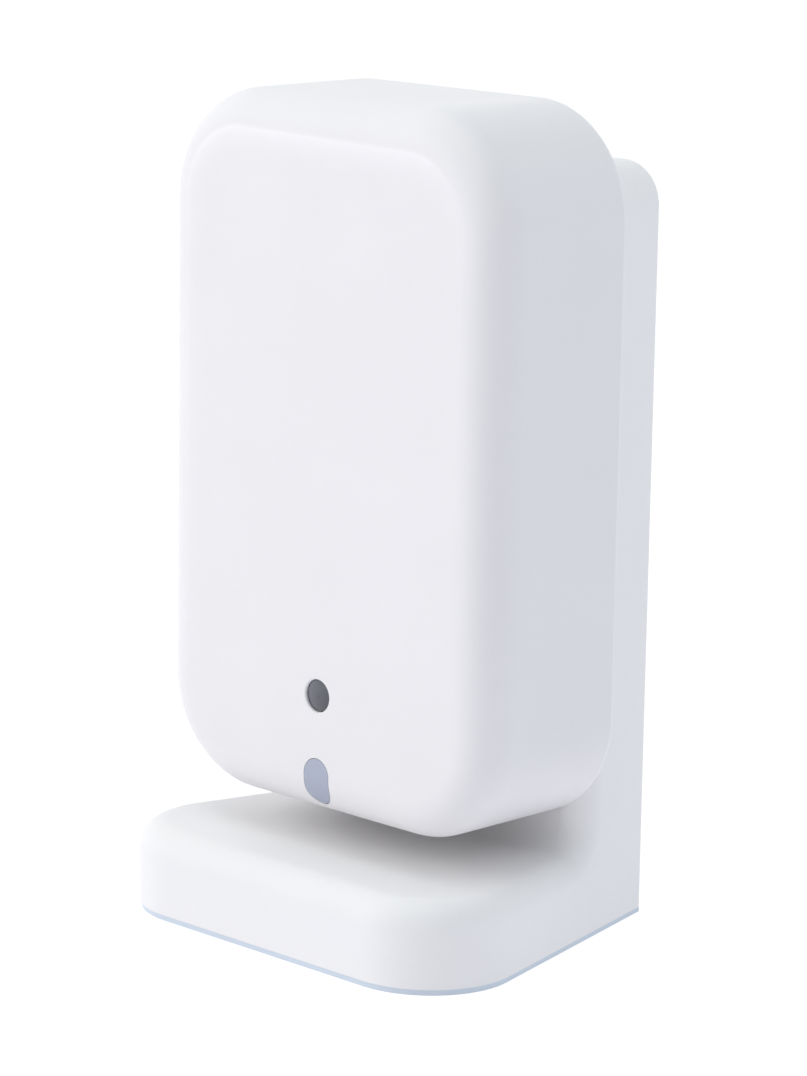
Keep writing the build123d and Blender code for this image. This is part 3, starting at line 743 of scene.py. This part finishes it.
ceramic_colour = (0.5, 0.34, 0.2, 1)
capacitor_end = 0.45 * mm
capacitor_end_polish = 0.15
capacitor_tan = moulded(
    "capacitor_tan", ceramic_colour, roughness=0.45,
    grain_size=0.1 * mm, grain_depth=0.005 * mm, unevenness=0.1,
)
capacitor_low, capacitor_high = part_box("capacitors")
capacitor_sides = capacitor_tan.node("ShaderNodeSeparateXYZ", sockets={0: capacitor_tan.place})
from_middle = abs(capacitor_sides.out("X") - (capacitor_low.x + capacitor_high.x) / 2)
at_end = from_middle.above((capacitor_high.x - capacitor_low.x) / 2 - capacitor_end)
capacitor_tan.put(
    Base_Color=capacitor_tan.mix(at_end, capacitor_tan.colour, tin_colour),
    Metallic=at_end,
    Roughness=capacitor_tan.roughness - at_end * capacitor_end_polish,
)
dress(capacitor_tan, "capacitors")

# Small parts on the back of the main board: a crystal in a bright can, and two rows of thick-film resistors.
# Each resistor is a small black block, and its end caps stand a little proud of it.
crystal_size = Vector((3.2, 0.8, 2.5)) * mm
crystal_corner = 0.4 * mm
crystal_corner_steps = 3
crystal_flange = 0.3 * mm
crystal_can_rise = 0.15 * mm
crystal_x = -5.5 * mm
crystal_z = main_low.z + 54 * mm
crystal_low = Vector((crystal_x - crystal_size.x / 2, main_high.y, crystal_z - crystal_size.z / 2))
crystal = block(crystal_low, crystal_low + crystal_size)
pick(crystal, "EDGE", lambda edge: lengthwise(edge) > crystal_size.y / 2)
bpy.ops.mesh.bevel(offset=crystal_corner, segments=crystal_corner_steps, affect="EDGES")
pick(crystal, "FACE", lambda face: face.normal.y > squarely)
bpy.ops.mesh.inset(thickness=crystal_flange)
bpy.ops.mesh.extrude_region_move(TRANSFORM_OT_translate={"value": (0, crystal_can_rise, 0)})
close(crystal)
finish_piece(crystal, "board_crystal", "head", tin_plate)

resistor_size = Vector((1.6, 0.45, 0.8)) * mm
resistor_end = 0.3 * mm
resistor_cap_thickness = 0.03 * mm
resistor_pitch = 2.4 * mm
resistor_count = 4
resistor_rows = 2
resistor_row_gap = 3.2 * mm
resistors_x = 1.5 * mm
for row in range(resistor_rows):
    row_z = crystal_z + (row - (resistor_rows - 1) / 2) * resistor_row_gap
    resistor_low = Vector((resistors_x, main_high.y, row_z))
    resistor_high = resistor_low + resistor_size
    resistor_middle = (resistor_low + resistor_high) / 2
    resistor = block(resistor_low, resistor_high)
    bpy.ops.object.mode_set(mode="EDIT")
    for end in (resistor_low.x + resistor_end, resistor_high.x - resistor_end):
        bpy.ops.mesh.select_all(action="SELECT")
        bpy.ops.mesh.bisect(plane_co=(end, 0, 0), plane_no=(1, 0, 0))
    body_half = resistor_size.x / 2 - resistor_end
    pick(resistor, "FACE", lambda face: abs(face.calc_center_median().x - resistor_middle.x) > body_half)
    bpy.ops.mesh.extrude_region_shrink_fatten(
        TRANSFORM_OT_shrink_fatten={"value": resistor_cap_thickness}
    )
    bpy.ops.object.mode_set(mode="OBJECT")
    repeated(resistor, resistor_count, (resistor_pitch, 0, 0))
    close(resistor)
    finish_piece(resistor, f"board_resistors_{row + 1}", "head", chip_black)

# Plug socket: a drawn metal shell on the back of the board, with a black tongue and gold contacts inside it.
# The contacts lie on both faces of the tongue, twelve to a face.
contact_width = 0.26 * mm
contact_thickness = 0.05 * mm
contact_pitch = 0.5 * mm
contact_count = 12
contact_bare_end = 0.35 * mm
contact_length = 3.4 * mm
contact_edge = contact_thickness / 3
contact_edge_steps = 2
tongue_low, tongue_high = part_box("usb_tongue")
dress(tin_plate, "usb_socket")
dress(inner_black, "usb_tongue")
for face_name, contact_z in (("under", tongue_low.z - contact_thickness), ("upper", tongue_high.z)):
    contact_low = Vector((
        -contact_pitch * (contact_count - 1) / 2 - contact_width / 2,
        tongue_high.y - contact_bare_end - contact_length,
        contact_z,
    ))
    contacts = block(contact_low, contact_low + Vector((contact_width, contact_length, contact_thickness)))
    pick(contacts, "EDGE", lambda edge: lengthwise(edge) > contact_length / 2)
    bpy.ops.mesh.bevel(offset=contact_edge, segments=contact_edge_steps, affect="EDGES")
    bpy.ops.object.mode_set(mode="OBJECT")
    repeated(contacts, contact_count, (contact_pitch, 0, 0))
    close(contacts)
    finish_piece(contacts, f"usb_contacts_{face_name}", "head", gold)

# Reset button and its switch: a grey cap in the rear cover that pushes the black plunger of a small switch.
# The cap is moulded in a darker grey so that a finger finds it through the window of the stand.
button_colour = (0.6, 0.61, 0.64, 1)
button_grey = moulded(
    "button_grey", button_colour, roughness=0.4, grain_size=0.3 * mm, grain_depth=0.006 * mm
)
dress(button_grey, "reset_button")
dress(inner_black, "reset_switch", "switch_plunger")
